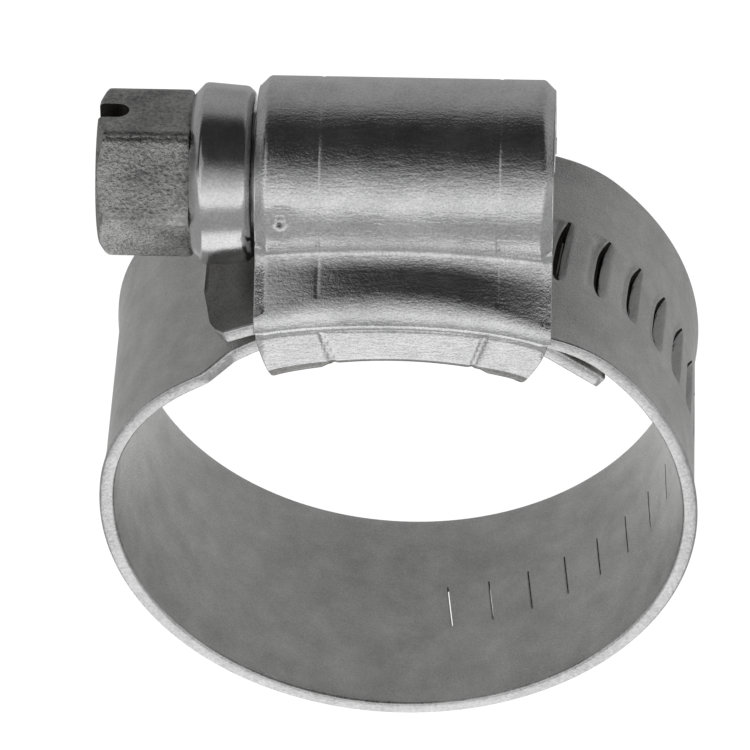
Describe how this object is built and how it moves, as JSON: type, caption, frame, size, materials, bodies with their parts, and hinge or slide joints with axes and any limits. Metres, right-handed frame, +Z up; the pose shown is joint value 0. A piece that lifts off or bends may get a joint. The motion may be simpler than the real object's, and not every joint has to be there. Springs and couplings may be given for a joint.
{
  "type": "hose clamp",
  "caption": "Worm-drive hose clamp: a slotted hex screw in a pressed housing draws a threaded steel band round in a ring.",
  "frame": {"origin": "centre of the ring, halfway across the band", "axes": "X along the screw with its hex head at -X, Y along the ring's axis, +Z up through the housing"},
  "size_m": [0.0288, 0.0142, 0.0352],
  "materials": {
    "housing_steel": "bright pressed stainless sheet, with draw lines along the barrel",
    "screw_steel": "plated forged steel: mottled hex, polished collar",
    "band_steel": "satin rolled stainless strip, bright cut edges"
  },
  "bodies": {
    "housing": {"housing": "housing_steel", "band_fixed_end": "band_steel"},
    "worm_screw": {"worm_screw": "screw_steel"},
    "band_tail": {"band_tail": "band_steel"},
    "band_link_1": {"band_link_1": "band_steel"},
    "band_link_2": {"band_link_2": "band_steel"},
    "band_link_3": {"band_link_3": "band_steel"},
    "band_link_4": {"band_link_4": "band_steel"},
    "band_link_5": {"band_link_5": "band_steel"},
    "band_link_6": {"band_link_6": "band_steel"},
    "band_link_7": {"band_link_7": "band_steel"},
    "band_link_8": {"band_link_8": "band_steel"}
  },
  "joints": [
    {"name": "screw_turn", "type": "hinge", "parent": "housing", "child": "worm_screw", "pos_m": [0, 0, 0.01615], "axis": [1, 0, 0], "range_deg": [-360, 720]},
    {"name": "tail_feed", "type": "hinge", "parent": "housing", "child": "band_tail", "pos_m": [0.0004, 0, -0.0078], "axis": [0, 1, 0], "range_deg": [-12.6, 6.4]},
    {"name": "band_flex_1", "type": "hinge", "parent": "band_tail", "child": "band_link_1", "pos_m": [0.00888, 0, 0.0106], "axis": [0, 1, 0], "range_deg": [-10, 5.1]},
    {"name": "band_flex_2", "type": "hinge", "parent": "band_link_1", "child": "band_link_2", "pos_m": [0.01281, 0, 0.0054], "axis": [0, 1, 0], "range_deg": [-6.4, 12.5]},
    {"name": "band_flex_3", "type": "hinge", "parent": "band_link_2", "child": "band_link_3", "pos_m": [0.01352, 0, -0.00323], "axis": [0, 1, 0], "range_deg": [-0.6, 0.9]},
    {"name": "band_flex_4", "type": "hinge", "parent": "band_link_3", "child": "band_link_4", "pos_m": [0.00899, 0, -0.0106], "axis": [0, 1, 0], "range_deg": [-0.4, 0.3]},
    {"name": "band_flex_5", "type": "hinge", "parent": "band_link_4", "child": "band_link_5", "pos_m": [0.00098, 0, -0.01387], "axis": [0, 1, 0], "range_deg": [-1, 1.8]},
    {"name": "band_flex_6", "type": "hinge", "parent": "band_link_5", "child": "band_link_6", "pos_m": [-0.00742, 0, -0.01176], "axis": [0, 1, 0], "range_deg": [-2.1, 3.9]},
    {"name": "band_flex_7", "type": "hinge", "parent": "band_link_6", "child": "band_link_7", "pos_m": [-0.01294, 0, -0.00509], "axis": [0, 1, 0], "range_deg": [-1.6, 2.9]},
    {"name": "band_flex_8", "type": "hinge", "parent": "band_link_7", "child": "band_link_8", "pos_m": [-0.01337, 0, 0.00353], "axis": [0, 1, 0], "range_deg": [-0.8, 1.3]}
  ],
  "couplings": [
    {"joint": "tail_feed", "follows": "screw_turn", "ratio": -0.017206},
    {"joint": "band_flex_1", "follows": "screw_turn", "ratio": -0.013576},
    {"joint": "band_flex_2", "follows": "screw_turn", "ratio": 0.016948},
    {"joint": "band_flex_3", "follows": "screw_turn", "ratio": 0.0008775},
    {"joint": "band_flex_4", "follows": "screw_turn", "ratio": -0.0001893},
    {"joint": "band_flex_5", "follows": "screw_turn", "ratio": 0.0021679},
    {"joint": "band_flex_6", "follows": "screw_turn", "ratio": 0.0050069},
    {"joint": "band_flex_7", "follows": "screw_turn", "ratio": 0.0036993},
    {"joint": "band_flex_8", "follows": "screw_turn", "ratio": 0.0014281}
  ]
}
